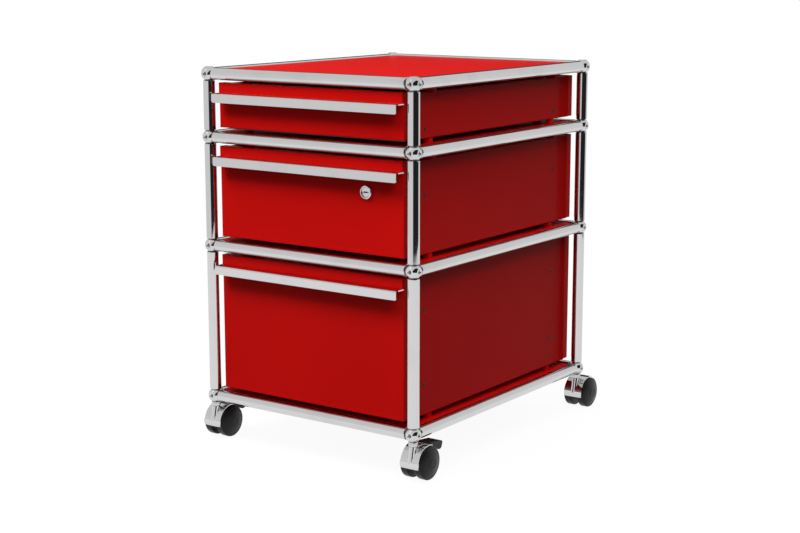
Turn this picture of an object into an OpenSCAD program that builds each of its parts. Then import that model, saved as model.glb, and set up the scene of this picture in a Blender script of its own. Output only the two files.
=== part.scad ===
// Mobile drawer pedestal: a ball-and-tube frame in chrome, steel panels set
// between the tubes, three drawers on telescopic runners and four twin-wheel
// casters. +Z is up, the drawer fronts face -Y and the floor is z = 0. The
// origin is on the floor, midway between the sides and midway between the
// lips of the pulls and the rear wheels.

/* [Overall] */
// Distance between ball centres across the front, in mm
width = 395; // [300:5:600]
// Distance between ball centres from front to rear, in mm
depth = 500; // [350:5:700]
// Height of the lowest ball centres over the floor, in mm
ball_height = 72; // [68:1:110]
// Height of the bottom tier between ball centres, in mm
tier_bottom = 250; // [180:5:350]
// Height of the middle tier between ball centres, in mm
tier_middle = 175; // [140:5:250]
// Height of the top tier between ball centres, in mm
tier_top = 100; // [90:5:200]

/* [Frame] */
// Outside diameter of the frame tubes, in mm
tube_d = 19; // [15:0.5:23]
// Wall of the frame tubes, in mm
tube_wall = 1.5; // [1:0.1:2.5]
// Diameter of a ball connector, in mm
ball_d = 25; // [22:0.5:32]
// Radius of the tapped holes in a ball connector, in mm
thread_r = 3; // [2:0.5:4]
// Core radius of a tapped hole that is left free, in mm
tap_r = 2.5; // [1.2:0.1:4]

/* [Panels] */
// Thickness of the panel sheet, in mm
sheet = 1.2; // [0.8:0.1:2]
// Outside radius of a panel's bends, in mm
bend_r = 1.6; // [1.3:0.1:2.4]
// Depth of a panel's folded edges, in mm
flange = 10; // [8:0.5:14]
// How far the side panels lie inside the tube axes, in mm
side_inset = 16.5; // [14:0.5:24]
// Distance from a tube axis to the edge of a panel, in mm
panel_gap = 15.5; // [14:0.5:22]
// Height of the top panel's face over the tube axes, in mm
top_rise = 7.3; // [4:0.1:9]

/* [Drawer fronts] */
// How far a drawer front lies behind the front tube axes, in mm
front_set = 2.6; // [0:0.1:6]
// Distance from a post axis to the side edge of a drawer front, in mm
front_edge = 18.7; // [16:0.1:26]
// Distance from the tube axis above to the top of a drawer front, in mm
front_top = 13.5; // [12:0.1:18]
// How far the strip over the pull stands in front of the panel, in mm
strip_step = 2.5; // [2.5:0.1:4]
// Distance from the tube axis above to the top of the pull, in mm
pull_drop = 29.6; // [26:0.1:36]
// How far the pull reaches out from the front, in mm
pull_reach = 20; // [16:0.5:28]
// Height of the pull's lip, in mm
lip_height = 14.2; // [10:0.1:20]
// Thickness of the pull, in mm
pull_sheet = 1.6; // [1.2:0.1:2.4]
// How far a pull's hidden leg stops short of its ends, in mm
leg_back = 6; // [1:0.5:20]

/* [Drawers and runners] */
// Travel of a drawer, in mm
travel = 400; // [200:10:420]
// Width taken by a telescopic runner on each side, in mm
runner_w = 12.7; // [12:0.1:15]
// Height of a runner's outer member, in mm
runner_h = 25; // [22:0.5:30]
// Distance from the tube axis above to a runner's centre line, in mm
runner_drop = 70.5; // [66:0.5:72]
// Thickness of the drawer box sheet, in mm
box_sheet = 1.2; // [0.8:0.1:2]

/* [Lock] */
// Distance of the lock from the middle of the front, in mm
lock_x = 111; // [-140:1:140]
// Distance from the tube axis above to the lock's centre, in mm
lock_drop = 64.5; // [62:0.5:80]
// Radius of the lock's rosette, in mm
rosette_r = 10.6; // [10:0.1:14]
// How far the rosette stands out of the front, in mm
rosette_h = 4.6; // [3.5:0.1:6]

/* [Casters] */
// Radius of the caster wheels, in mm
wheel_r = 26; // [22:0.5:27]
// How far the axle trails behind the swivel axis, in mm
trail = 18; // [15:0.5:24]
// Half of the gap between the twin wheels, in mm
wheel_in = 7; // [6.5:0.1:9]
// Distance from the swivel axis to a wheel's outer rim, in mm
wheel_out = 19; // [13:0.1:20]
// Half the width of a caster's hood, in mm
hood_half = 16.6; // [12:0.1:20]
// How far a wheel's domed face bulges past its rim, in mm
dome = 5; // [2:0.1:7]

/* [Hidden] */
$fn = 72;
e = 0.01;
hx = width / 2;
hy = depth / 2;
tube_r = tube_d / 2;
ball_r = ball_d / 2;
z0 = ball_height;
z1 = z0 + tier_bottom;
z2 = z1 + tier_middle;
z3 = z2 + tier_top;
levels = [z0, z1, z2, z3];
tiers = [tier_bottom, tier_middle, tier_top];
flat = ball_r * 0.87;              // ball centre to each of its flats
seat = flat + 0.1;                 // ball centre to a tube's end
bite = flat - 3.2;                 // depth of a tapped hole
cham = 1.1;                        // countersink of a tapped hole
side_x = hx - side_inset;          // outer face of the side panels
side_y = hy - panel_gap;           // front and rear edges of the side panels
front_x = hx - front_edge;         // side edges of the fronts and rear panels
front_y = -hy + front_set;         // outer face of the drawer fronts
rear_y = hy;                       // outer face of the rear panels
run_x = side_x - sheet - 0.1;      // outer face of a runner
box_x = run_x - runner_w;          // outer face of a drawer box
box_y0 = front_y + flange + 2.4;   // front of a drawer box
box_y1 = hy - 25;                  // rear of a drawer box
run_y0 = -side_y + 3.5;            // front end of the runners
run_len = min(travel + 52, side_y - 8 - run_y0);
out = min(travel, run_len - 50);   // travel the runners allow
floor_gap = 13;                    // tube axis below to a drawer's base
stem_r = 4;
fit = 0.05;                        // radial clearance of a running fit
hood_r = wheel_r + 2.5;
hood_in = wheel_r + 1.2;
hood_x = hood_half;
axle_r = 3;
top_z = z0 - flat - 0.1;           // top of a caster's collar
col_z = z0 - flat - 6.6;           // bottom of a caster's collar
lock_z = z2 - lock_drop;
mid_y = (hy + trail + wheel_r + front_y - pull_reach) / 2;
lean = 11.5;                       // lean of the hood's column, in degrees
lever_y = trail + 17;
lever_z = wheel_r + 14.5;
corner = [[-1, -1], [1, -1], [1, 1], [-1, 1]];
red = [0.79, 0.09, 0.08];
chrome = [0.84, 0.84, 0.85];
steel = [0.62, 0.63, 0.65];
black = [0.06, 0.06, 0.065];
dark = [0.2, 0.2, 0.21];

// ---- shared shapes ----

// moves a piece so that the origin lies midway between the front and rear extremes
module placed() { translate([0, -mid_y, 0]) children(); }

// a block from one corner to the opposite one
module block(a, b) { translate(a) cube([b[0] - a[0], b[1] - a[1], b[2] - a[2]]); }

// takes a rounding off an edge along X at the origin; the solid lies towards -Y and -Z
module ease(len, r) {
    difference() {
        block([-len/2, -r, -r], [len/2, 1, 1]);
        translate([0, -r, -r]) rotate([0, 90, 0]) cylinder(r = r, h = len + 2, center = true);
    }
}

// a steel tray: outer face at z = 0, folded edges running down to z = -d
module tray(w, h, d, t = sheet, r = bend_r) {
    difference() {
        block([-w/2, -h/2, -d], [w/2, h/2, 0]);
        block([-w/2 + t, -h/2 + t, -d - 1], [w/2 - t, h/2 - t, -t]);
        for (a = [0, 180]) rotate(a) translate([0, h/2, 0]) ease(w + 2, r);
        for (a = [90, 270]) rotate(a) translate([0, w/2, 0]) ease(h + 2, r);
        for (s = [-1, 1], q = [-1, 1])
            translate([s * w/2, q * h/2, 0]) scale([s, q, 1]) rotate([0, 90, 0]) ease(2 * d + 2, r);
    }
}

// a frame tube along +Z with eased ends
module tube(len) {
    ri = tube_r - tube_wall;
    rotate_extrude() polygon([[ri, 0], [tube_r - 0.6, 0], [tube_r, 0.6],
        [tube_r, len - 0.6], [tube_r - 0.6, len], [ri, len]]);
}

// ball connector: a sphere with six flats, each with a countersunk tapped hole
module ball(c, top) {
    // each flat's turn, and whether its hole is left free
    sides = [[[0, 0, 0], top], [[180, 0, 0], false],
        [[0, 90, 0], c[0] > 0], [[0, -90, 0], c[0] < 0], [[-90, 0, 0], c[1] > 0], [[90, 0, 0], c[1] < 0]];
    difference() {
        intersection() {
            sphere(r = ball_r);
            cube(2 * flat, center = true);
        }
        for (side = sides) {
            r = side[1] ? tap_r : thread_r;
            rotate(side[0]) {
                translate([0, 0, flat - bite]) cylinder(r = r, h = bite + 1);
                translate([0, 0, flat - cham]) cylinder(r1 = r, r2 = r + cham, h = cham);
            }
        }
    }
}

module balls_at(z) {
    color(chrome) for (c = corner) translate([c[0] * hx, c[1] * hy, z]) ball(c, z == z3);
}

// threaded stud and plug that hold a tube's end to a ball, along +Z from the ball centre
module stud() {
    ri = tube_r - tube_wall - 0.1;
    rotate_extrude() polygon([[0, flat - bite + 1], [thread_r - 0.45, flat - bite + 1],
        [thread_r - 0.05, flat - bite + 1.4], [thread_r - 0.05, flat - cham],
        [thread_r - 0.05, seat + 0.2], [ri, seat + 0.2], [ri, seat + 4], [0, seat + 4]]);
}

// saddle that carries a horizontal panel's edge on a tube along Y at x = 0;
// the panel lies towards -X
module saddle() {
    difference() {
        block([-tube_r - 0.95, -8, -3], [-tube_r + 1.8, 8, 3]);
        rotate([90, 0, 0]) cylinder(r = tube_r + 0.05, h = 20, center = true);
    }
}

// ---- frame ----

module balls_base() placed() balls_at(z0);
module balls_lower() placed() balls_at(z1);
module balls_upper() placed() balls_at(z2);
module balls_top() placed() balls_at(z3);

module posts() placed() {
    color(chrome) for (c = corner, i = [0:2])
        translate([c[0] * hx, c[1] * hy, levels[i] + seat]) tube(tiers[i] - 2 * seat);
}

module cross_rails(s) {
    color(chrome) for (z = levels)
        translate([-hx + seat, s * hy, z]) rotate([0, 90, 0]) tube(width - 2 * seat);
}
module rails_front() placed() cross_rails(-1);
module rails_rear() placed() cross_rails(1);

module long_rails(s) {
    color(chrome) for (z = levels)
        translate([s * hx, -hy + seat, z]) rotate([-90, 0, 0]) tube(depth - 2 * seat);
}
module rails_left() placed() long_rails(-1);
module rails_right() placed() long_rails(1);

module joint_studs() placed() {
    color(steel) for (c = corner, i = [0:3]) translate([c[0] * hx, c[1] * hy, levels[i]]) {
        rotate([0, -c[0] * 90, 0]) stud();
        rotate([c[1] * 90, 0, 0]) stud();
        if (i < 3) stud();
        if (i > 0) rotate([180, 0, 0]) stud();
    }
}

// ---- panels ----

module top_panel() placed() {
    color(red) translate([0, 0, z3 + top_rise])
        tray(width - 2 * (tube_r + 1), depth - 2 * (tube_r + 1), flange + 1);
}

// the horizontal panels under the drawers, face up like the top one
module shelf_panels() placed() {
    color(red) for (i = [0:2]) translate([0, 0, levels[i] + top_rise])
        tray(width - 2 * (tube_r + 1), depth - 2 * (tube_r + 1), flange + 1);
}

module side_panels(s) {
    color(red) for (i = [0:2]) difference() {
        translate([s * side_x, 0, (levels[i] + levels[i + 1]) / 2]) rotate([0, s * 90, 0])
            tray(tiers[i] - 2 * panel_gap, 2 * side_y, flange);
        // the front fold is cut away where the runner passes
        block([min(s * (side_x - sheet), s * (side_x - 20)), -side_y - 1, levels[i + 1] - runner_drop - runner_h/2 - 1],
            [max(s * (side_x - sheet), s * (side_x - 20)), -side_y + 4, levels[i + 1] - runner_drop + runner_h/2 + 1]);
        for (p = screw_spots(i)) translate([s * side_x, p[0], p[1]]) rotate([0, 90, 0])
            cylinder(r = 2.1, h = 12, center = true);
    }
}
module side_panels_left() placed() side_panels(-1);
module side_panels_right() placed() side_panels(1);

module rear_panels() placed() {
    color(red) for (i = [0:2])
        translate([0, rear_y, (levels[i] + levels[i + 1]) / 2]) rotate([-90, 0, 0])
            tray(2 * front_x, tiers[i] - 2 * panel_gap, flange + 4);
}

// saddles at the tubes, and spacers between the upright and the horizontal panels
module panel_clips() placed() {
    shelf_x = hx - tube_r - 1;
    shelf_y = hy - tube_r - 1;
    up = top_rise + 0.03;
    down = flange + 1 - top_rise + 0.03;
    color(black) {
        for (z = levels) translate([0, 0, z]) {
            for (s = [0, 1], y = [-0.3, 0.3]) mirror([s, 0, 0]) translate([hx, y * depth, 0]) saddle();
            for (s = [0, 1]) mirror([0, s, 0]) translate([0, hy, 0]) rotate(90) saddle();
        }
        for (i = [0:2]) {
            for (s = [0, 1], y = [-0.36, 0.36]) mirror([s, 0, 0]) translate([0, y * depth, 0]) {
                block([side_x - flange, -5, levels[i] + up], [side_x - 1, 5, levels[i] + panel_gap - 0.03]);
                block([side_x - flange, -5, levels[i + 1] - panel_gap + 0.03], [shelf_x - 0.1, 5, levels[i + 1] - down]);
            }
            for (x = [-0.3, 0.3]) translate([x * width, 0, 0]) {
                block([-5, rear_y - flange - 8, levels[i] + up], [5, shelf_y - 0.1, levels[i] + panel_gap - 0.03]);
                block([-5, rear_y - flange - 4, levels[i + 1] - panel_gap + 0.03], [5, shelf_y - 0.1, levels[i + 1] - down]);
            }
        }
    }
}

// ---- runners ----

// the holes and screws of a side panel in tier i, as [y, z]
function screw_spots(i) = concat(
    [for (y = [-side_y + 37.5, side_y - 50]) [y, levels[i + 1] - runner_drop]],
    i == 0 ? [for (y = [-side_y + 37.5, side_y - 50]) [y, z0 + tier_bottom * 0.256]] : []);

// a channel along +Y: web outwards at x = w, lips reaching in to x = 0
module channel(w, h, t, y0, y1) {
    block([w - t, y0, -h/2], [w, y1, h/2]);
    for (s = [0, 1]) mirror([0, 0, s]) block([0, y0, h/2 - t], [w - t/2, y1, h/2]);
}

module at_runners(i) {
    for (s = [0, 1]) mirror([s, 0, 0]) translate([run_x, 0, levels[i + 1] - runner_drop]) children();
}

module cabinet_runners() placed() {
    color(steel) for (i = [0:2]) at_runners(i) difference() {
        translate([-5.4, 0, 0]) channel(5.4, runner_h, 1.2, run_y0, run_y0 + run_len);
        for (y = [-side_y + 37.5, side_y - 50]) translate([0, y, 0]) rotate([0, 90, 0])
            cylinder(r = 2.1, h = 6, center = true);
    }
}

module runner_screws() placed() {
    color(dark) for (s = [-1, 1], i = [0:2], p = screw_spots(i))
        translate([s * (side_x + 0.05), p[0], p[1]]) rotate([0, s * 90, 0]) difference() {
            union() {
                cylinder(r1 = 3, r2 = 2.4, h = 0.9);
                translate([0, 0, -2.3]) cylinder(r = 2, h = 2.31);
            }
            translate([0, 0, 0.4]) cylinder(r = 1.2, h = 2, $fn = 6);
        }
}

// middle member: an I section that nests in the cabinet member
module slide(i) {
    color(steel) at_runners(i) {
        h = runner_h - 2.4 - 0.8;
        block([-6.9, run_y0 + 2, -h/2 + 3.2], [-5.7, run_y0 + run_len - 2, h/2 - 3.2]);
        for (q = [0, 1]) mirror([0, 0, q]) {
            block([-9.8, run_y0 + 2, h/2 - 3.2 - e], [-1.9, run_y0 + run_len - 2, h/2 - 2.2]);
            block([-3.1, run_y0 + 2, h/2 - 2.4], [-1.9, run_y0 + run_len - 2, h/2]);
        }
    }
}
module slide_bottom() placed() slide(0);
module slide_middle() placed() slide(1);
module slide_top() placed() slide(2);

// drawer member: a bar with rolled edges screwed to the drawer's side
module drawer_runners(i) {
    color(steel) at_runners(i) {
        h = runner_h - 2.4 - 0.8 - 6.4 - 1.2;
        block([-runner_w + 0.05, box_y0 + 4, -h/2], [-runner_w + 1.3, run_y0 + run_len - 4, h/2]);
        for (q = [0, 1]) mirror([0, 0, q])
            block([-runner_w + 0.05, box_y0 + 4, h/2 - 1.2], [-7.5, run_y0 + run_len - 4, h/2]);
    }
}
module bottom_runners() placed() drawer_runners(0);
module middle_runners() placed() drawer_runners(1);
module top_runners() placed() drawer_runners(2);

// ---- drawers ----

module front(i) {
    lo = levels[i] + panel_gap;
    hi = levels[i + 1] - front_top;
    difference() {
        translate([0, front_y, (lo + hi) / 2]) rotate([90, 0, 0]) tray(2 * front_x, hi - lo, flange + 1.5);
        if (i == 1) translate([lock_x, front_y, lock_z]) rotate([90, 0, 0]) cylinder(r = 9.1, h = 8, center = true);
    }
}
module bottom_front() placed() color(red) front(0);
module middle_front() placed() color(red) front(1);
module top_front() placed() color(red) front(2);

// strip of sheet over the pull, closed at the top and at both ends
module strip(i) {
    hi = levels[i + 1] - front_top;
    lo = levels[i + 1] - pull_drop + 0.1;
    y = front_y - strip_step;
    w = front_x - 1.5;
    r = 0.7;
    color(red) {
        block([-w, y, lo], [w, y + 0.8, hi - r]);
        block([-w, y + r, hi - 0.8], [w, front_y - 0.03, hi]);
        intersection() {
            translate([-w, y + r, hi - r]) rotate([0, 90, 0]) cylinder(r = r, h = 2 * w);
            block([-w, y, hi - r - e], [w, y + r + e, hi]);
        }
    }
}
module bottom_strip() placed() strip(0);
module middle_strip() placed() strip(1);
module top_strip() placed() strip(2);

// pull: a folded strip of chromed steel with a rear leg behind the red strip,
// a shelf that reaches forwards and a lip that hangs down in front
module pull(i) {
    z = levels[i + 1] - pull_drop;
    w = front_x - 0.7;
    yb = front_y - 0.05;
    yf = front_y - pull_reach;
    t = pull_sheet;
    r = t + 0.8;
    c = 3;
    leg = strip_step - 0.8 - 0.1;
    color(chrome) difference() {
        union() {
            block([-w + leg_back, yb - leg, z - t], [w - leg_back, yb, levels[i + 1] - front_top - 1]);
            block([-w, yf + r - e, z - t], [w, yb, z]);
            block([-w, yf, z - lip_height], [w, yf + t, z - r + e]);
            difference() {
                intersection() {
                    translate([-w, yf + r, z - r]) rotate([0, 90, 0]) cylinder(r = r, h = 2 * w);
                    block([-w, yf, z - r], [w, yf + r, z]);
                }
                translate([-w - 1, yf + r, z - r]) rotate([0, 90, 0]) cylinder(r = r - t, h = 2 * w + 2);
            }
        }
        // rounded lower corners of the lip
        for (s = [0, 1]) mirror([s, 0, 0]) difference() {
            block([w - c, yf - 1, z - lip_height - 1], [w + 1, yf + t + 1, z - lip_height + c]);
            translate([w - c, yf, z - lip_height + c]) rotate([90, 0, 0]) cylinder(r = c, h = 12, center = true);
        }
    }
}
module bottom_pull() placed() pull(0);
module middle_pull() placed() pull(1);
module top_pull() placed() pull(2);

// drawer box: two sides, front and rear walls and a base, each its own sheet
module drawer_box(i) {
    t = box_sheet;
    lo = levels[i] + floor_gap;
    hi = levels[i + 1] - runner_drop + 36;
    color(dark) {
        for (s = [0, 1]) mirror([s, 0, 0]) block([box_x - t, box_y0, lo], [box_x, box_y1, hi]);
        difference() {
            block([-box_x + t + 0.02, box_y0, lo], [box_x - t - 0.02, box_y0 + t, hi]);
            if (i == 1) translate([lock_x, box_y0, lock_z]) rotate([90, 0, 0]) cylinder(r = 9.1, h = 8, center = true);
        }
        block([-box_x + t + 0.02, box_y1 - t, lo], [box_x - t - 0.02, box_y1, hi]);
        block([-box_x + t + 0.02, box_y0 + t + 0.02, lo], [box_x - t - 0.02, box_y1 - t - 0.02, lo + t]);
    }
}
module bottom_box() placed() drawer_box(0);
module middle_box() placed() drawer_box(1);
module top_box() placed() drawer_box(2);

// ---- lock in the middle drawer front ----

// along +Z out of the front: z = 0 is the face of the front
module at_lock() { translate([lock_x, front_y, lock_z]) rotate([90, 0, 0]) children(); }

module lock_body() placed() {
    color(chrome) at_lock() rotate_extrude() polygon([
        [7 + fit, 2.3], [7 + fit, -22], [9, -22], [9, 0.02], [rosette_r, 0.02],
        [rosette_r, 2.8], [rosette_r - 0.5, rosette_h - 0.5], [rosette_r - 1.1, rosette_h],
        [8.3, rosette_h], [7.7, 2.9], [7 + fit + 0.3, 2.5]]);
}

module lock_nut() placed() {
    color(steel) at_lock() translate([0, 0, -flange - 9.6]) difference() {
        cylinder(r = 12.5, h = 4, $fn = 6);
        translate([0, 0, -1]) cylinder(r = 9.02, h = 6);
    }
}

module lock_plug() placed() {
    color(chrome) at_lock() difference() {
        union() {
            translate([0, 0, -22.2]) cylinder(r = 7, h = 24.4);
            translate([0, 0, -26]) cylinder(r = 2.9, h = 4);
        }
        block([-5.2, -1.2, -3], [5.2, 1.2, 4]);
    }
}

module lock_cam() placed() {
    color(steel) at_lock() translate([0, 0, -24.4]) difference() {
        union() {
            cylinder(r = 6, h = 1.8);
            block([-22, -5, 0], [0, 5, 1.8]);
        }
        translate([0, 0, -1]) cylinder(r = 2.92, h = 4);
    }
}

// ---- casters ----

module caster_collars() placed() {
    color(chrome) for (c = corner) translate([c[0] * hx, c[1] * hy, 0])
        rotate_extrude() polygon([
            [stem_r + fit, col_z], [6.7, col_z], [7.5, col_z + 0.7], [7.5, col_z + 3],
            [6.8, col_z + 3.5], [6.8, col_z + 4.2], [7.4, col_z + 4.7], [7.4, top_z - 0.6], [6.9, top_z],
            [thread_r - 0.05, top_z], [thread_r - 0.05, top_z + bite - 1.2], [0, top_z + bite - 1.2],
            [0, top_z - 1], [stem_r + fit, top_z - 1]]);
}

// swivelling hood: swivel pin, a leaning half-round column, a fender over both
// wheels and a raised band across the foot of its front
module hood() {
    color(chrome) {
        difference() {
            union() {
                difference() {
                    translate([0, trail, wheel_r]) rotate([0, 90, 0]) cylinder(r = hood_r, h = 2 * hood_x, center = true);
                    translate([0, trail, wheel_r]) rotate([0, 90, 0]) cylinder(r = hood_in, h = 2 * hood_x + 2, center = true);
                    // open below and behind
                    block([-40, -40, -10], [40, 80, wheel_r - 4.4]);
                    translate([0, trail, wheel_r]) rotate([-20, 0, 0]) block([-40, 0, -60], [40, 60, 60]);
                }
                translate([0, 0, wheel_r + 14]) cylinder(r = 6.4, h = col_z - 0.4 - wheel_r - 14);
                intersection() {
                    translate([0, 0, col_z - 0.4]) rotate([-lean, 0, 0]) translate([0, 0, -50]) cylinder(r = 6.4, h = 60);
                    block([-10, -20, wheel_r + 3], [10, 6, col_z - 0.4]);
                }
                // the band, with its lower corners rounded
                difference() {
                    intersection() {
                        translate([0, trail, wheel_r]) rotate([0, 90, 0]) cylinder(r = hood_r + 1.1, h = 2 * hood_x + 0.6, center = true);
                        block([-40, -40, wheel_r - 4.4], [40, 0, wheel_r + 5.4]);
                    }
                    for (s = [0, 1]) mirror([s, 0, 0]) difference() {
                        block([hood_x - 3.7, -40, wheel_r - 7], [hood_x + 3, 0, wheel_r - 0.4]);
                        translate([hood_x - 3.7, -20, wheel_r - 0.4]) rotate([90, 0, 0]) cylinder(r = 4, h = 42, center = true);
                    }
                }
            }
            // the column is cut to the fender's inside
            translate([0, trail, wheel_r]) rotate([0, 90, 0]) cylinder(r = hood_in, h = 2 * hood_x + 20, center = true);
        }
        translate([0, 0, col_z - 3]) cylinder(r = stem_r, h = top_z - 1.3 - col_z + 3);
    }
}

// plastic core between the wheels, with the axle across it
module core(brake) {
    color(black) translate([0, trail, wheel_r]) difference() {
        union() {
            difference() {
                rotate([0, 90, 0]) cylinder(r = hood_in - 0.05, h = 2 * (wheel_in - 0.6), center = true);
                block([-20, -60, -60], [20, 60, -wheel_r * 0.3]);
                block([-20, 16, -60], [20, 60, 8]);
            }
            rotate([0, 90, 0]) cylinder(r = axle_r, h = 2 * (wheel_out - 1.4), center = true);
        }
        if (brake) block([-3.3, lever_y - trail - 7, lever_z - wheel_r - 7], [3.3, 60, 60]);
    }
    if (brake) color(black) translate([0, lever_y, lever_z]) rotate([0, 90, 0]) cylinder(r = 1.5, h = 2 * (wheel_in - 0.7), center = true);
}

// one wheel, domed face towards +X
module wheel() {
    r = wheel_r;
    rim = r - 1.3;
    n = 10;
    R = (rim * rim + dome * dome) / (2 * dome);
    face = [for (k = [0:n]) let (q = rim * (1 - k / n))
        [q, wheel_out + 0.2 + sqrt(R * R - q * q) - (R - dome)]];
    color(black) rotate([0, 90, 0]) rotate_extrude() polygon(concat(
        [[0, wheel_out - 1.1], [axle_r + fit, wheel_out - 1.1], [axle_r + fit, wheel_in],
         [r - 1.4, wheel_in], [r - 0.4, wheel_in + 0.4], [r, wheel_in + 1.4],
         [r, wheel_out - 1.3], [r - 0.4, wheel_out - 0.4]], face));
}

// brake pedal: a thick tab behind the wheels on an arm between them
module brake() {
    w = 12.2;
    color(black) difference() {
        union() {
            rotate([90, 0, 90]) translate([0, 0, -w]) linear_extrude(2 * w) polygon([
                [trail + 10.4, wheel_r + 25.6], [trail + 12, wheel_r + 28.2], [trail + 40, wheel_r + 25.2],
                [trail + 42.4, wheel_r + 23.6], [trail + 42.8, wheel_r + 21], [trail + 40.5, wheel_r + 14.8],
                [trail + 38, wheel_r + 12.8], [trail + 33, wheel_r + 12.6], [trail + 24.5, wheel_r + 16.2],
                [trail + 18, wheel_r + 21.4]]);
            rotate([90, 0, 90]) translate([0, 0, -2.9]) linear_extrude(5.8) polygon([
                [lever_y - 3, lever_z - 1], [lever_y + 3, lever_z - 3], [lever_y + 10, lever_z + 4],
                [lever_y + 4, lever_z + 9], [lever_y - 3, lever_z + 10]]);
            translate([0, lever_y, lever_z]) rotate([0, 90, 0]) cylinder(r = 3.6, h = 5.8, center = true);
        }
        translate([0, lever_y, lever_z]) rotate([0, 90, 0]) cylinder(r = 1.5 + fit, h = 10, center = true);
    }
}

module at_caster(sx, sy) { translate([sx * hx, sy * hy, 0]) children(); }
module wheels_at(sx, sy, s) { at_caster(sx, sy) translate([0, trail, wheel_r]) mirror([s < 0 ? 1 : 0, 0, 0]) wheel(); }

module fl_hood() placed() at_caster(-1, -1) hood();
module fr_hood() placed() at_caster(1, -1) hood();
module rl_hood() placed() at_caster(-1, 1) hood();
module rr_hood() placed() at_caster(1, 1) hood();
module fl_core() placed() at_caster(-1, -1) core(true);
module fr_core() placed() at_caster(1, -1) core(true);
module rl_core() placed() at_caster(-1, 1) core(false);
module rr_core() placed() at_caster(1, 1) core(false);
module fl_wheel_in() placed() wheels_at(-1, -1, 1);
module fl_wheel_out() placed() wheels_at(-1, -1, -1);
module fr_wheel_in() placed() wheels_at(1, -1, -1);
module fr_wheel_out() placed() wheels_at(1, -1, 1);
module rl_wheel_in() placed() wheels_at(-1, 1, 1);
module rl_wheel_out() placed() wheels_at(-1, 1, -1);
module rr_wheel_in() placed() wheels_at(1, 1, -1);
module rr_wheel_out() placed() wheels_at(1, 1, 1);
module fl_brake() placed() at_caster(-1, -1) brake();
module fr_brake() placed() at_caster(1, -1) brake();

// ---- the parts ----
balls_base();
balls_lower();
balls_upper();
balls_top();
posts();
rails_front();
rails_rear();
rails_left();
rails_right();
joint_studs();
top_panel();
shelf_panels();
side_panels_left();
side_panels_right();
rear_panels();
panel_clips();
cabinet_runners();
runner_screws();
slide_bottom();
slide_middle();
slide_top();
bottom_front();
bottom_strip();
bottom_pull();
bottom_box();
bottom_runners();
middle_front();
middle_strip();
middle_pull();
middle_box();
middle_runners();
top_front();
top_strip();
top_pull();
top_box();
top_runners();
lock_body();
lock_nut();
lock_plug();
lock_cam();
caster_collars();
fl_hood();
fl_core();
fl_wheel_in();
fl_wheel_out();
fl_brake();
fr_hood();
fr_core();
fr_wheel_in();
fr_wheel_out();
fr_brake();
rl_hood();
rl_core();
rl_wheel_in();
rl_wheel_out();
rr_hood();
rr_core();
rr_wheel_in();
rr_wheel_out();
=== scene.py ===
# %% [markdown]
# # A drawer pedestal in chrome and red enamel
# The cabinet is a cage of chromed tubes screwed into ball connectors, with
# folded steel trays set between the tubes. Its shapes come from the CAD model,
# so this notebook is mostly about finishes: plating, powder coat, nylon and
# zinc, then the small fittings that are too fine for the CAD, then the studio.

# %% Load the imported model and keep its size
import bpy, bmesh, math
from mathutils import Matrix, Vector


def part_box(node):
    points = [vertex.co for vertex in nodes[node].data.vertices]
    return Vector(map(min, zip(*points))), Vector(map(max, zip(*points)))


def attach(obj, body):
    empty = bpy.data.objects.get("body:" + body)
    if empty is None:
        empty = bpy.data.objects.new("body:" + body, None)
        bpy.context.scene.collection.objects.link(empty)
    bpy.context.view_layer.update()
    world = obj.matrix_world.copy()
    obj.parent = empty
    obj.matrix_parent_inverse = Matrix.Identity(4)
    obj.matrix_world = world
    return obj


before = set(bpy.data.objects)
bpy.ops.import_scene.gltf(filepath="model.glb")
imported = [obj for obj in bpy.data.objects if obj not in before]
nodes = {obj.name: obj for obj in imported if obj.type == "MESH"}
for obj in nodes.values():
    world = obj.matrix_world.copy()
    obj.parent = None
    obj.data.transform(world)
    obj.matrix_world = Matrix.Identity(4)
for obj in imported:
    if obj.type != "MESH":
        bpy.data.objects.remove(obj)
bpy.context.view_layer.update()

# %% [markdown]
# ## Writing a finish as sums
# A shader is a graph, usually wired by hand in the editor, but it reads best as
# arithmetic. `Value` wraps one output socket, and each operator on it adds a
# Math node. `Graph` holds a node tree, and its `node` method makes any node,
# settings first and inputs after. `Finish` is the graph of one material, with
# the few patterns that all the finishes below are mixed from.

# %% Value: one socket that can be added, subtracted and scaled
class Value:
    def __init__(self, graph, socket):
        self.graph, self.socket = graph, socket

    def math(self, operation, other):
        return self.graph.node("ShaderNodeMath", {"operation": operation}, {0: self, 1: other})

    def __add__(self, other): return self.math("ADD", other)
    def __radd__(self, other): return self.math("ADD", other)
    def __sub__(self, other): return self.math("SUBTRACT", other)
    def __rsub__(self, other): return self * -1 + other
    def __mul__(self, other): return self.math("MULTIPLY", other)
    def __rmul__(self, other): return self.math("MULTIPLY", other)

    def ramp(self, low, high):
        """0 below low, 1 above high, smooth between them."""
        return self.graph.node("ShaderNodeMapRange", {"interpolation_type": "SMOOTHSTEP"},
                               {0: self, 1: low, 2: high, 3: 0.0, 4: 1.0})


# %% Graph: one node tree and the method that makes its nodes
class Graph:
    def __init__(self, tree):
        self.tree = tree

    def node(self, kind, settings={}, inputs={}, out=0):
        made = self.tree.nodes.new(kind)
        for name, value in settings.items():
            setattr(made, name, value)
        for name, value in inputs.items():
            self.feed(made.inputs[name], value)
        return Value(self, made.outputs[out])

    def feed(self, socket, value):
        """Links a Value, or sets a number, a vector or a colour of three numbers."""
        if isinstance(value, Value):
            self.tree.links.new(value.socket, socket)
        elif socket.type == "RGBA":
            socket.default_value = (*value, 1.0)
        else:
            socket.default_value = value


# %% Finish: the graph of one material
MM = 0.001


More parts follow.
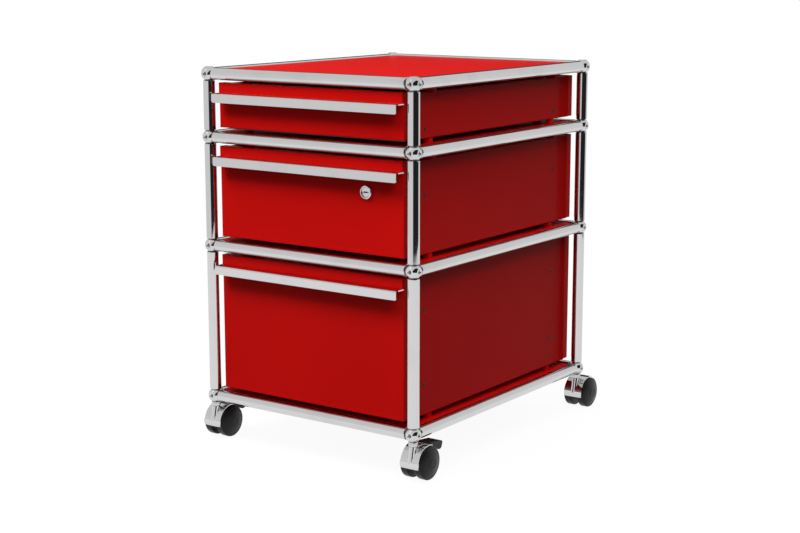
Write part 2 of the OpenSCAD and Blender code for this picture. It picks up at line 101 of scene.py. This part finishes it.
class Finish(Graph):
    def __init__(self, name, **uniform):
        self.material = bpy.data.materials.new(name)
        self.material.use_nodes = True
        super().__init__(self.material.node_tree)
        self.skin = self.tree.nodes["Principled BSDF"]
        self.skin_takes(**uniform)
        self.place = self.node("ShaderNodeTexCoord", out="Object")

    def skin_takes(self, **sockets):
        for name, value in sockets.items():
            self.feed(self.skin.inputs[name.replace("_", " ")], value)

    def stretched(self, x, y, z):
        return self.node("ShaderNodeMapping", {}, {"Vector": self.place, "Scale": (x, y, z)})

    def noise(self, scale, detail=2.0, roughness=0.5, where=None):
        return self.node("ShaderNodeTexNoise", {},
                         {"Vector": where or self.place, "Scale": scale,
                          "Detail": detail, "Roughness": roughness})

    def crystals(self, scale):
        """A different shade in each cell of a Voronoi pattern."""
        return self.node("ShaderNodeTexVoronoi", {},
                         {"Vector": self.place, "Scale": scale}, out="Color")

    def mixed(self, amount, a, b):
        return self.node("ShaderNodeMix", {"data_type": "RGBA"}, {0: amount, 6: a, 7: b}, out=2)

    def relief(self, height, depth):
        self.skin_takes(Normal=self.node("ShaderNodeBump", {}, {"Height": height, "Distance": depth,
                                                                "Strength": 1.0}))


def wear(names, finish):
    """Puts a finish on CAD nodes."""
    for name in names:
        node = nodes[name]
        node.data.materials.clear()
        node.data.materials.append(finish.material)
    print(finish.material.name, "on", len(names), "nodes")


# %% [markdown]
# ## Chrome
# The tubes, balls and pulls are steel, polished and plated: a metal with no
# colour of its own, so nearly all of its look is what stands around it. A plain
# mirror would look drawn. Plating is never quite even, and wiping leaves long
# faint streaks and the odd dull smudge, so two noises, one of them drawn out
# along Z, move the roughness a little.

# %% Bright chrome plating
tiers = ("bottom", "middle", "top")
levels = ("base", "lower", "upper", "top")
corners = {"fl": -1, "fr": 1, "rl": -1, "rr": 1}        # each caster and its side in X

plated, dulled = (0.62, 0.612, 0.615), (0.57, 0.565, 0.568)
mirror, smudged, streaked = 0.035, 0.07, 0.025          # roughness, and what each adds
chrome = Finish("bright_chrome", Metallic=1.0, IOR=2.5)
smudge = chrome.noise(14.0, 3.0).ramp(0.52, 0.8)
streak = chrome.noise(900.0, 2.0, 0.6, chrome.stretched(1, 1, 0.03)).ramp(0.35, 0.75)
chrome.skin_takes(Base_Color=chrome.mixed(smudge, plated, dulled),
                  Roughness=mirror + smudge * smudged + streak * streaked)

bright = ["posts", "caster_collars", "lock_body", "lock_plug"]
bright += [f"balls_{level}" for level in levels]
bright += [f"rails_{side}" for side in ("front", "rear", "left", "right")]
bright += [f"{tier}_pull" for tier in tiers] + [f"{corner}_hood" for corner in corners]
wear(bright, chrome)

# %% [markdown]
# ## Red powder coat
# Powder melts and flows in the oven but never quite levels: it keeps a fine
# skin like orange peel under a clear gloss. The peel could be modelled, but it
# is a few hundredths of a millimetre deep, so a bump is enough. A slow noise
# shifts the colour by a few hundredths, as pigment does.

# %% Glossy red enamel
fresh, deep = (0.66, 0.0050, 0.0040), (0.62, 0.0046, 0.0037)
red = Finish("red_enamel", IOR=1.5, Specular_IOR_Level=0.018)
drift = red.noise(5.0, 3.0).ramp(0.3, 0.7)
haze = red.noise(60.0, 3.0).ramp(0.45, 0.8)
red.skin_takes(Base_Color=red.mixed(drift, fresh, deep), Roughness=0.19 + haze * 0.05)
red.relief(red.noise(420.0, 1.5), 0.06 * MM)

enamelled = ["top_panel", "shelf_panels", "panel_clips",
             "side_panels_left", "side_panels_right", "rear_panels"]
enamelled += [f"{tier}_{piece}" for tier in tiers for piece in ("front", "strip")]
wear(enamelled, red)

# %% [markdown]
# ## Black nylon
# Wheels, cores and pedals are moulded from nylon: dark and a little shiny, with
# a fine grain from the mould and a dusting of grey. A flat black would lose
# their round shapes, so the dust dulls the gloss as well as paling the colour.

# %% Moulded black nylon
clean, dusty = (0.005, 0.005, 0.0055), (0.012, 0.012, 0.012)
nylon = Finish("black_nylon", IOR=1.5, Specular_IOR_Level=0.22)
dust = nylon.noise(70.0, 4.0, 0.65).ramp(0.5, 0.85)
nylon.skin_takes(Base_Color=nylon.mixed(dust, clean, dusty), Roughness=0.34 + dust * 0.22)
nylon.relief(nylon.noise(1400.0, 2.0), 0.04 * MM)
wear([name for name in nodes if name.endswith(("_core", "_brake")) or "_wheel_" in name], nylon)

# %% [markdown]
# ## Zinc, dark enamel and blackened screws
# The runners and the studs are zinc plated, which dries in soft crystals: a
# Voronoi pattern gives each crystal its own gloss. The drawer boxes have a dark
# grey coat, made as the red one is, and the runner screws are blackened.

# %% Zinc plating with its spangle
zinc = Finish("bright_zinc", Metallic=1.0)
zinc.skin_takes(Base_Color=(0.52, 0.53, 0.55), Roughness=0.26 + zinc.crystals(260.0) * 0.12)
runners = [name for tier in tiers for name in (f"slide_{tier}", f"{tier}_runners")]
wear(["joint_studs", "cabinet_runners", "lock_nut", "lock_cam"] + runners, zinc)

# %% Dark grey enamel
pale, dark = (0.045, 0.046, 0.049), (0.038, 0.039, 0.042)
grey = Finish("dark_grey_enamel")
grey.skin_takes(Base_Color=grey.mixed(grey.noise(7.0).ramp(0.3, 0.7), pale, dark),
                Roughness=0.34 + grey.noise(50.0, 3.0) * 0.08)
grey.relief(grey.noise(500.0, 1.5), 0.06 * MM)
wear([f"{tier}_box" for tier in tiers], grey)

# %% Blackened steel
oxide = Finish("blackened_steel", Metallic=1.0)
oxide.skin_takes(Base_Color=(0.03, 0.03, 0.034), Roughness=0.32 + oxide.noise(600.0) * 0.12)
wear(["runner_screws"], oxide)

# %% [markdown]
# ## Small fittings
# What the CAD leaves out is small and often repeated: the thread in a free hole,
# the balls in a runner, the rolled rim of a drawer box, a rubber mat, rings
# moulded on the wheels. Each is grown from a profile by the operator that copies
# how it is made: a spin for what is turned, an extrusion for what is rolled or
# pressed. Places are measured from the boxes of the CAD nodes.

# %% A bmesh becomes an object, and a fitting rides on a body
def as_object(mesh, name):
    data = bpy.data.meshes.new(name)
    mesh.to_mesh(data)
    mesh.free()
    made = bpy.data.objects.new(name, data)
    bpy.context.scene.collection.objects.link(made)
    return made


def keep(mesh, name, finish, body, smooth=True):
    weld = 0.01 * MM                        # points nearer than this become one
    bmesh.ops.remove_doubles(mesh, verts=mesh.verts[:], dist=weld)
    bmesh.ops.recalc_face_normals(mesh, faces=mesh.faces[:])
    for face in mesh.faces:
        face.smooth = smooth
    piece = as_object(mesh, name)
    piece.data.materials.append(finish.material)
    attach(piece, body)
    print(name, len(piece.data.polygons), "faces, rides on", body)


def box_of(node):
    low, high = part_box(node)
    return Vector(low), Vector(high)


# %% Profiles, and the parts of what an operator returns
def wire(mesh, points):
    """A closed loop of edges, the profile that a spin or an extrusion follows."""
    verts = [mesh.verts.new(p) for p in points]
    edges = [mesh.edges.new((a, b)) for a, b in zip(verts, verts[1:] + verts[:1])]
    return verts + edges


def circle(centre, across, up, radius, sides):
    angles = [2 * math.pi * k / sides for k in range(sides)]
    return [centre + (across * math.cos(a) + up * math.sin(a)) * radius for a in angles]


def verts_of(made):
    return [part for part in made if isinstance(part, bmesh.types.BMVert)]


def edges_of(made):
    return [part for part in made if isinstance(part, bmesh.types.BMEdge)]


# %% A round bar
def bar(mesh, start, end, radius, sides=8):
    """A round bar between two points, with the edges of its ends softened."""
    run = end - start
    turn = run.to_track_quat("Z", "Y").to_matrix().to_4x4()
    place = Matrix.Translation((start + end) / 2) @ turn
    made = bmesh.ops.create_cone(mesh, cap_ends=True, segments=sides, radius1=radius,
                                 radius2=radius, depth=run.length, matrix=place)
    edges = dict.fromkeys(edge for vert in made["verts"] for edge in vert.link_edges)
    level, soft = 1e-12, radius * 0.4       # an end's edges run square to the bar
    rounds = [e for e in edges if abs((e.verts[0].co - e.verts[1].co).dot(run)) < level]
    bmesh.ops.bevel(mesh, geom=rounds, offset=soft, offset_type="OFFSET", affect="EDGES",
                    segments=2, profile=0.5, material=-1)


# %% [markdown]
# ### Threads
# A ball connector is drilled and tapped on all six sides, and the sides that no
# tube uses stay open. Stacked rings would look much the same, but a tap cuts a
# spiral, and one spin makes it: a small triangle turns about the hole's axis
# while it slides inwards.

# %% One thread
def thread(mesh, mouth, inward, radius=2.5 * MM, crest=0.36 * MM, pitch=1.0 * MM,
           turns=4, steps=12):
    side = inward.orthogonal().normalized()
    foot = mouth + side * radius
    tip = mouth + side * (radius - crest) + inward * pitch / 2
    wide = pitch * 0.96             # a little less than the pitch, so turns stay apart
    profile = wire(mesh, [foot, tip, foot + inward * wide])
    spun = bmesh.ops.spin(mesh, geom=profile, cent=mouth, axis=inward,
                          dvec=inward * pitch / steps, angle=2 * math.pi * turns,
                          steps=steps * turns)
    for end in (profile, spun["geom_last"]):
        bmesh.ops.contextual_create(mesh, geom=edges_of(end))


# %% Thread in each free hole
ball_radius = 12.5 * MM
flat = ball_radius * 0.87           # a ball's centre to each of its flats
sunk = 1.2 * MM                     # the countersink's depth
threads = bmesh.new()
for level in levels:
    low, high = box_of(f"balls_{level}")
    inset = Vector((flat, flat, 0))
    near, far = low + inset, high - inset
    for sx in (-1, 1):
        for sy in (-1, 1):
            ball = Vector((far.x if sx > 0 else near.x, far.y if sy > 0 else near.y,
                           (low.z + high.z) / 2))
            free = [Vector((sx, 0, 0)), Vector((0, sy, 0))]
            if level == "top":
                free.append(Vector((0, 0, 1)))
            for outward in free:
                thread(threads, ball + outward * (flat - sunk), -outward)
keep(threads, "hole_threads", chrome, "frame", smooth=False)

# %% [markdown]
# ### Runners
# A telescopic runner rolls on rows of steel balls, spaced by a pressed cage, in
# the grooves between its members. They show when a drawer is pulled out. Their
# rows stay in the rear of the middle member and ride with it. Each ball is a
# sphere of few faces, since there are hundreds, and each cage is a thin bar.

# %% Balls and cages
bearing, cage = 1.1 * MM, 0.45 * MM                     # radii
groove_in, groove_up = 2.4 * MM, 0.9 * MM               # from the member's faces to a row
first, spacing, count = 30 * MM, 6 * MM, 24             # balls in a row, from the rear
for tier in tiers:
    race = bmesh.new()
    low, high = box_of(f"slide_{tier}")
    rows = [high.y - first - spacing * k for k in range(count)]
    for s in (-1, 1):
        x = s * (high.x - groove_in)
        for z in (low.z + groove_up, high.z - groove_up):
            for y in rows:
                bmesh.ops.create_uvsphere(race, u_segments=8, v_segments=5, radius=bearing,
                                          matrix=Matrix.Translation((x, y, z)))
            ends = rows[-1] - 4 * MM, rows[0] + 4 * MM
            bar(race, Vector((x, ends[0], z)), Vector((x, ends[1], z)), cage, 6)
    keep(race, f"{tier}_slide_balls", zinc, f"{tier}_slide")

# %% [markdown]
# ### Drawer boxes
# Thin sheet is stiffened by rolling its top edge and pressing ribs into its
# sides. The rolled rim could be a bevelled curve; here it is one closed sweep: a
# circle extruded along a side, spun a quarter turn at the corner, and so on
# round until it meets itself.

# %% Rolled rim
def rim(mesh, low, high, z, radius, corner):
    start = Vector((high.x, low.y + corner, z))
    loop = wire(mesh, circle(start, Vector((1, 0, 0)), Vector((0, 0, 1)), radius, 10))
    deep, wide = high.y - low.y, high.x - low.x
    for quarter, length in enumerate((deep, wide, deep, wide)):
        turn = Matrix.Rotation(quarter * math.pi / 2, 3, "Z")
        along, inward = turn @ Vector((0, 1, 0)), turn @ Vector((-1, 0, 0))
        grown = bmesh.ops.extrude_edge_only(mesh, edges=edges_of(loop))["geom"]
        verts = verts_of(grown)
        bmesh.ops.translate(mesh, verts=verts, vec=along * (length - 2 * corner))
        start = start + along * (length - 2 * corner)
        ends = set(verts)
        edges = [edge for edge in edges_of(grown) if set(edge.verts) <= ends]
        loop = bmesh.ops.spin(mesh, geom=verts + edges, cent=start + inward * corner,
                              axis=(0, 0, 1), angle=math.pi / 2, steps=5)["geom_last"]
        start = start + (along + inward) * corner


# %% Rims and pressed ribs
sheet = 1.2 * MM                                        # a box's wall
roll, bend = 1.05 * MM, 3 * MM                          # the rim's radius, its corners
rib, apart = 0.45 * MM, 25 * MM                         # a rib's radius, one to the next
foot, head = 12 * MM, 8 * MM                            # where ribs stop, from each edge
for tier in tiers:
    low, high = box_of(f"{tier}_box")
    pressed = bmesh.new()
    half = Vector((sheet / 2, sheet / 2, 0))
    rim(pressed, low + half, high - half, high.z, roll, bend)
    for s in (-1, 1):
        x = s * (high.x - sheet)
        for k in range(int((high.y - low.y) / apart) - 1):
            y = low.y + apart * (k + 1)
            bar(pressed, Vector((x, y, low.z + foot)), Vector((x, y, high.z - head)), rib)
    keep(pressed, f"{tier}_rim", grey, f"{tier}_drawer")

# %% [markdown]
# ### Drawer mats
# A thin ribbed mat keeps things from sliding. A bump could draw its ribs, but a
# mat is seen from above at a low angle when a drawer is open, so they are real:
# a grid of strips, every other strip raised, and the border turned down.

# %% Ribbed rubber
rubber = Finish("ribbed_rubber", IOR=1.5, Specular_IOR_Level=0.3)
chalk = rubber.noise(30.0, 4.0, 0.6).ramp(0.45, 0.8)
rubber.skin_takes(Base_Color=rubber.mixed(chalk, (0.016, 0.016, 0.017), (0.03, 0.03, 0.03)),
                  Roughness=0.62 + chalk * 0.2)
rubber.relief(rubber.noise(1800.0, 2.0), 0.03 * MM)
print(rubber.material.name, "has", len(rubber.tree.nodes), "nodes")

# %% A mat in each drawer
margin, strip = sheet + 1.5 * MM, 3 * MM                # free edge, width of one strip
lift, skirt, raise_by = 0.3 * MM, 0.28 * MM, 0.25 * MM  # over the box, downwards, upwards
for tier in tiers:
    low, high = box_of(f"{tier}_box")
    width, length = high.x - low.x - 2 * margin, high.y - low.y - 2 * margin
    middle = Vector(((low.x + high.x) / 2, (low.y + high.y) / 2, low.z + sheet + lift))
    mat = bmesh.new()
    bmesh.ops.create_grid(mat, x_segments=1, y_segments=int(length / strip), size=0.5,
                          matrix=Matrix.Translation(middle)
                          @ Matrix.Diagonal((width, length, 1, 1)))
    border = [edge for edge in mat.edges if edge.is_boundary]
    hem = bmesh.ops.extrude_edge_only(mat, edges=border)["geom"]
    bmesh.ops.translate(mat, verts=verts_of(hem), vec=(0, 0, -skirt))
    flats = sorted((face for face in mat.faces if abs(face.normal.z) > 0.9),
                   key=lambda face: face.calc_center_median().y)
    ribs = bmesh.ops.extrude_discrete_faces(mat, faces=flats[::2])["faces"]
    bmesh.ops.translate(mat, verts=[v for face in ribs for v in face.verts],
                        vec=(0, 0, raise_by))
    keep(mat, f"{tier}_mat", rubber, f"{tier}_drawer", smooth=False)

# %% [markdown]
# ### Wheels, pedals and lock
# The mould leaves a raised ring near the wheel's rim and another round its hub,
# and the pedals have grip bars. The lock's plug has a turned bead and two wards
# in its keyway, and a toothed washer keeps its nut from working loose. A torus
# is in no bmesh operator, so a ring is a circle spun once round an axis.

# %% Turned rings
def ring(mesh, centre, axis, radius, bead):
    """A bead swept round an axis."""
    side = axis.orthogonal().normalized()
    profile = wire(mesh, circle(centre + side * radius, side, axis, bead, 8))
    bmesh.ops.spin(mesh, geom=profile, cent=centre, axis=axis, angle=2 * math.pi, steps=64,
                   use_merge=True)


ring_bead = 0.42 * MM
rings = ((22.4 * MM, 4.08 * MM), (7.5 * MM, 0.44 * MM))     # radius, drop of the dome there
for corner, side in corners.items():
    for which, s in (("in", -side), ("out", side)):
        low, high = box_of(f"{corner}_wheel_{which}")
        hub = (low + high) / 2
        peak = high.x if s > 0 else low.x
        turned = bmesh.new()
        for radius, drop in rings:
            ring(turned, Vector((peak - s * drop, hub.y, hub.z)), Vector((1, 0, 0)), radius,
                 ring_bead)
        keep(turned, f"{corner}_rings_{which}", nylon, f"{corner}_{which}_wheel")

# %% Grip bars on the pedals
inset, grip = 1.5 * MM, 0.5 * MM        # from the pedal's sides, a bar's radius
edge, step = 1.6 * MM, 5 * MM           # from the pedal's tip, one bar to the next
slope = 3 / 28                          # how fast the pedal's top falls to the rear
for corner in ("fl", "fr"):
    low, high = box_of(f"{corner}_brake")
    grips = bmesh.new()
    for k in range(1, 6):
        y, z = low.y + edge + step * k, high.z - step * k * slope
        bar(grips, Vector((low.x + inset, y, z)), Vector((high.x - inset, y, z)), grip)
    keep(grips, f"{corner}_grips", nylon, f"{corner}_pedal")

# %% Bead and wards of the lock
low, high = box_of("lock_plug")
face = Vector(((low.x + high.x) / 2, low.y, (low.z + high.z) / 2))
bead = bmesh.new()
ring(bead, face, Vector((0, 1, 0)), 6.3 * MM, 0.22 * MM)
for x, z in ((-1.9, 1.0), (1.4, -1.0)):                 # one ward on each side of the key
    bar(bead, face + Vector((x, 0.4, z)) * MM, face + Vector((x, 4.7, z)) * MM, 0.42 * MM)
keep(bead, "lock_bead", chrome, "lock_core")

# %% Toothed washer under the lock's nut
bore, outer, tooth, clear = 9.3 * MM, 12.0 * MM, 1.1 * MM, 0.02 * MM
wall, nut = box_of("middle_box")[0], box_of("lock_nut")[0]
centre = Vector((face.x, wall.y + sheet + clear, face.z))
thick = nut.y - clear - centre.y
section = [(0, bore), (thick, bore), (thick, outer), (0, outer)]
washer = bmesh.new()
profile = wire(washer, [centre + Vector((0, y, z)) for y, z in section])
bmesh.ops.spin(washer, geom=profile, cent=centre, axis=(0, 1, 0), angle=2 * math.pi,
               steps=32, use_merge=True)


def out_from_axis(of):
    away = of.calc_center_median() - centre
    return Vector((away.x, 0, away.z))


outside = sorted((f for f in washer.faces if out_from_axis(f).length > outer - 0.2 * MM),
                 key=lambda f: math.atan2(out_from_axis(f).x, out_from_axis(f).z))
for grown in bmesh.ops.extrude_discrete_faces(washer, faces=outside[::2])["faces"]:
    bmesh.ops.translate(washer, verts=grown.verts[:],
                        vec=out_from_axis(grown).normalized() * tooth)
keep(washer, "lock_washer", zinc, "middle_drawer", smooth=False)

# %% [markdown]
# ## The studio
# Chrome shows the room, so the room matters as much as the metal. A white floor
# lies under the cabinet, bright by itself, so that it stays white without a
# strong lamp. It gives off no light on the cabinet, which keeps the low red
# surfaces deep.

# %% Floor
radius, below = 2.1, 0.5 * MM               # just under the wheels
paper = Finish("white_paper", Roughness=0.9, Emission_Strength=0.94)
paper.skin_takes(Base_Color=paper.mixed(paper.noise(40.0), (0.055, 0.055, 0.055),
                                        (0.052, 0.052, 0.052)),
                 Emission_Color=(1, 1, 1))
sweep = bmesh.new()
bmesh.ops.create_circle(sweep, cap_ends=True, segments=96, radius=radius,
                        matrix=Matrix.Translation((0, 0, -below)))
floor = as_object(sweep, "floor")
floor.data.materials.append(paper.material)
floor.visible_diffuse = False
print("floor", tuple(round(side, 2) for side in floor.dimensions))

# %% [markdown]
# ### Lights
# Three softboxes stand where a studio has them: overhead, to the right of the
# drawers, and a key from the left that the fronts are lit by. Chrome would show
# them as hard bright bars, so they are hidden from glossy rays, and what the
# metal mirrors is painted on the surroundings below.

# %% Softboxes
def softbox(name, place, size, power, target=(0, 0, 0.3)):
    light = bpy.data.lights.new(name, "AREA")
    light.shape, light.size, light.energy = "SQUARE", size, power
    lamp = bpy.data.objects.new(name, light)
    lamp.location = place
    lamp.rotation_euler = (Vector(target) - Vector(place)).to_track_quat("-Z", "Y").to_euler()
    lamp.visible_camera = lamp.visible_glossy = False
    bpy.context.scene.collection.objects.link(lamp)
    print(name, power, "W")


softbox("overhead", (0.45, -0.6, 2.3), 1.3, 24)
softbox("side", (1.35, -1.3, 1.7), 0.7, 11.5)
softbox("key", (-0.75, -1.25, 1.95), 0.8, 28, (0, -0.2, 0.35))

# %% [markdown]
# ### Surroundings
# Real flags and reflectors would have to be hidden from the camera one by one.
# Round patches on the sky do the same work. Glossy rays see a pale room with a
# softer ceiling, a dark curtain to the right of the drawers that draws the crisp
# dark line down each post, a dark flag low behind the cabinet that keeps the top
# panel's red deep, and one bright reflector high on the left. Diffuse rays see a
# dimmer room, brighter overhead and darker low on the right, and the camera sees
# plain white.

# %% Patches of sky
world = bpy.data.worlds.new("studio")
world.use_nodes = True
bpy.context.scene.world = world
sky = Graph(world.node_tree)
sky.tree.nodes.remove(sky.tree.nodes["Background"])
way = sky.node("ShaderNodeTexCoord", out="Generated")


def patch(azimuth, elevation, half_width, edge):
    """1 inside a round patch of the sky, 0 outside it; angles in degrees."""
    a, e = math.radians(azimuth), math.radians(elevation)
    centre = (math.sin(a) * math.cos(e), -math.cos(a) * math.cos(e), math.sin(e))
    near = sky.node("ShaderNodeVectorMath", {"operation": "DOT_PRODUCT"}, {0: way, 1: centre},
                    out="Value")
    return near.ramp(math.cos(math.radians(half_width + edge)),
                     math.cos(math.radians(half_width - edge)))


def towards(light, mask, to):
    return sky.node("ShaderNodeMix", {"data_type": "FLOAT"}, {0: mask, 2: light, 3: to})


# %% What each kind of ray sees
gloss = towards(0.9, patch(0, 90, 70, 20), 0.84)        # pale room, ceiling
gloss = towards(gloss, patch(77, -5, 52, 3), 0.02)      # curtain
gloss = towards(gloss, patch(215, 13, 20, 7), 0.04)     # flag
gloss = towards(gloss, patch(-32, 52, 9, 3), 1.5)       # reflector
fill = towards(0.2, patch(0, 90, 65, 25), 0.42)         # dim room, bright ceiling
fill = towards(fill, patch(85, -25, 60, 25), 0.04)      # shade low on the right

white = (1, 1, 1)
diffuse_ray = sky.node("ShaderNodeLightPath", out="Is Diffuse Ray")
camera_ray = sky.node("ShaderNodeLightPath", out="Is Camera Ray")
room = sky.node("ShaderNodeBackground", {}, {"Color": white,
                                             "Strength": towards(gloss, diffuse_ray, fill)})
seen = sky.node("ShaderNodeBackground", {}, {"Color": white, "Strength": 1.0})
both = sky.node("ShaderNodeMixShader", {}, {0: camera_ray, 1: room, 2: seen})
sky.feed(sky.tree.nodes["World Output"].inputs["Surface"], both)
bpy.context.scene.view_settings.view_transform = "Standard"
print("surroundings", len(sky.tree.nodes), "nodes")

# %% [markdown]
# ## The camera
# A long lens from a little above the top panel, turned 35 degrees to the right
# of the drawers, so that the fronts, one side and a sliver of the top show.

# %% Camera
eye, aim = Vector((1.5135, -2.1550, 0.7660)), Vector((-0.00404, -0.0133, 0.26865))
camera_data = bpy.data.cameras.new("camera")
camera_data.lens, camera_data.sensor_width = 71.67, 36.0
camera_data.clip_end = 50.0
camera = bpy.data.objects.new("camera", camera_data)
camera.location = eye
camera.rotation_euler = (aim - eye).to_track_quat("-Z", "Y").to_euler()
bpy.context.scene.collection.objects.link(camera)
bpy.context.scene.camera = camera
print("camera", round((aim - eye).length, 3), "m away")
